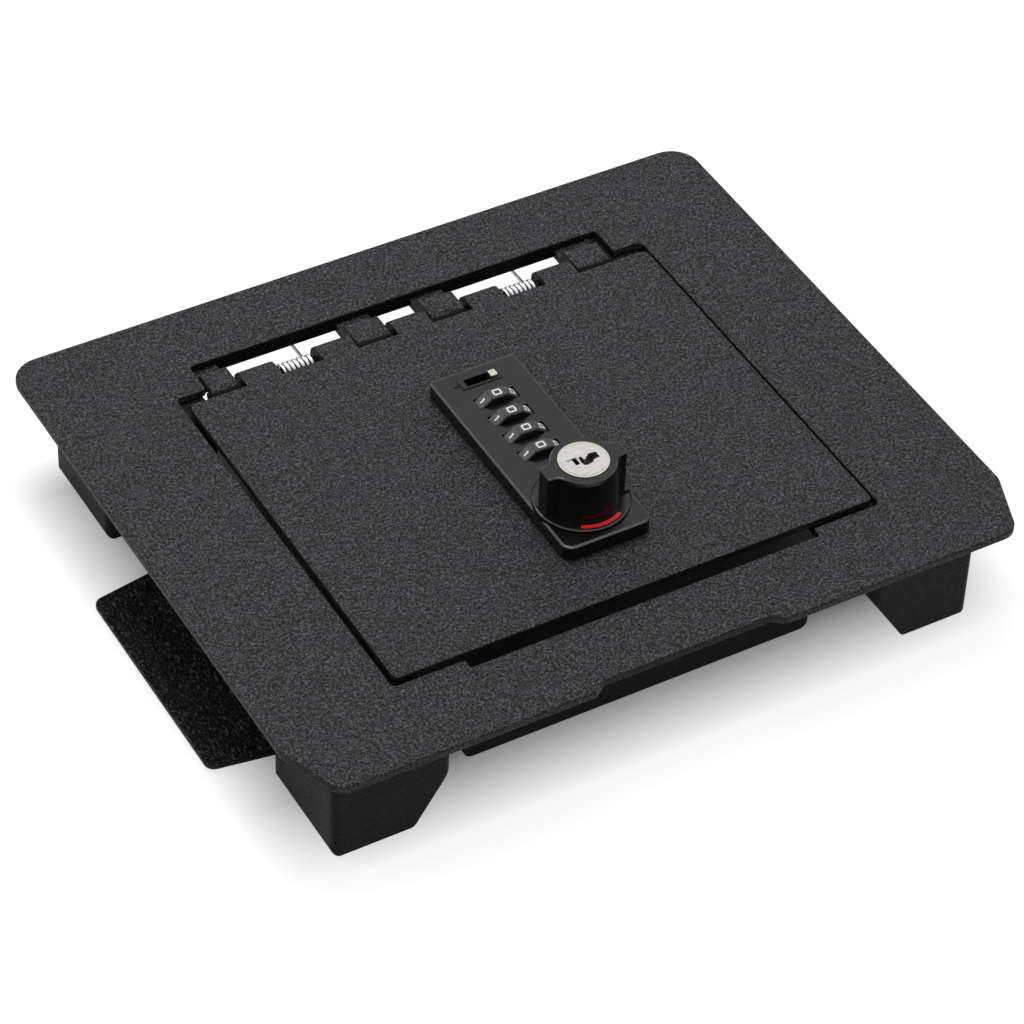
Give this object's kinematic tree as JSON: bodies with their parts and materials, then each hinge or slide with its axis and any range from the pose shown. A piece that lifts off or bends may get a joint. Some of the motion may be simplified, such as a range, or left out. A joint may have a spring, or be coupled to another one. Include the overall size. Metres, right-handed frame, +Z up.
{
  "type": "console safe",
  "caption": "Drop-in vehicle console safe: a coated steel plate on short feet with a sprung hinged door, a four-dial combination lock and a turning knob with a key cylinder.",
  "frame": {"origin": "middle of the outline seen from above, at the height of the feet's undersides", "axes": "+X to the right along the hinge, +Y to the back, where the hinge is, +Z up"},
  "size_m": [0.3034, 0.25, 0.0748],
  "materials": {
    "textured_coat": "wrinkled black powder coat on steel sheet",
    "dark_coat": "wrinkled black powder coat on steel sheet, in shade",
    "foot_moulding": "grained black moulded polymer",
    "lock_plastic": "satin black moulding",
    "bright_steel": "zinc-plated steel",
    "nickel": "satin nickel plate",
    "red_mark": "red marking"
  },
  "bodies": {
    "frame": {"top_plate": "textured_coat", "strike_flange": "dark_coat", "foot_front_left": "foot_moulding", "foot_front_right": "foot_moulding", "foot_rear_left": "foot_moulding", "foot_rear_right": "foot_moulding", "side_hook_bracket": "dark_coat", "hinge_leaf": "textured_coat", "hinge_pin": "dark_coat", "torsion_spring_left": "bright_steel", "torsion_spring_right": "bright_steel"},
    "door": {"door_panel": "textured_coat", "lock_housing": "lock_plastic", "lock_back_cover": "lock_plastic", "lock_clamp_frame": "bright_steel", "dial_spindle": "bright_steel", "dial_detent_spring": "bright_steel", "locking_fence": "bright_steel", "lock_screw_1": "bright_steel", "lock_screw_2": "bright_steel", "lock_screw_3": "bright_steel", "lock_screw_4": "bright_steel", "cover_screw_1": "bright_steel", "cover_screw_2": "bright_steel", "cover_screw_3": "bright_steel", "cover_screw_4": "bright_steel"},
    "dial_1": {"dial_1": "lock_plastic"},
    "dial_2": {"dial_2": "lock_plastic"},
    "dial_3": {"dial_3": "lock_plastic"},
    "dial_4": {"dial_4": "lock_plastic"},
    "slider": {"code_slider": "nickel"},
    "knob": {"knob": "lock_plastic", "knob_indicator": "red_mark", "key_cylinder": "nickel", "drive_spindle": "bright_steel", "lock_cam": "bright_steel", "cam_washer": "bright_steel", "cam_nut": "bright_steel"},
    "key_core": {"key_core": "nickel"}
  },
  "joints": [
    {"name": "door_hinge", "type": "hinge", "parent": "frame", "child": "door", "pos_m": [0.00445, 0.0788, 0.043], "axis": [-1, 0, 0], "range_deg": [0, 90]},
    {"name": "dial_1_turn", "type": "hinge", "parent": "door", "child": "dial_1", "pos_m": [0.00495, 0.0168, 0.04794], "axis": [0, 1, 0], "continuous": true},
    {"name": "dial_2_turn", "type": "hinge", "parent": "door", "child": "dial_2", "pos_m": [0.00495, 0.00592, 0.04794], "axis": [0, 1, 0], "continuous": true},
    {"name": "dial_3_turn", "type": "hinge", "parent": "door", "child": "dial_3", "pos_m": [0.00495, -0.00496, 0.04794], "axis": [0, 1, 0], "continuous": true},
    {"name": "dial_4_turn", "type": "hinge", "parent": "door", "child": "dial_4", "pos_m": [0.00495, -0.01584, 0.04794], "axis": [0, 1, 0], "continuous": true},
    {"name": "code_slide", "type": "slide", "parent": "door", "child": "slider", "axis": [-1, 0, 0], "range_m": [0, 0.009]},
    {"name": "knob_turn", "type": "hinge", "parent": "door", "child": "knob", "pos_m": [0.00495, -0.0454, 0.06], "axis": [0, 0, -1], "range_deg": [0, 90]},
    {"name": "key_turn", "type": "hinge", "parent": "knob", "child": "key_core", "pos_m": [0.00495, -0.0454, 0.07], "axis": [0, 0, -1], "range_deg": [0, 90]}
  ]
}
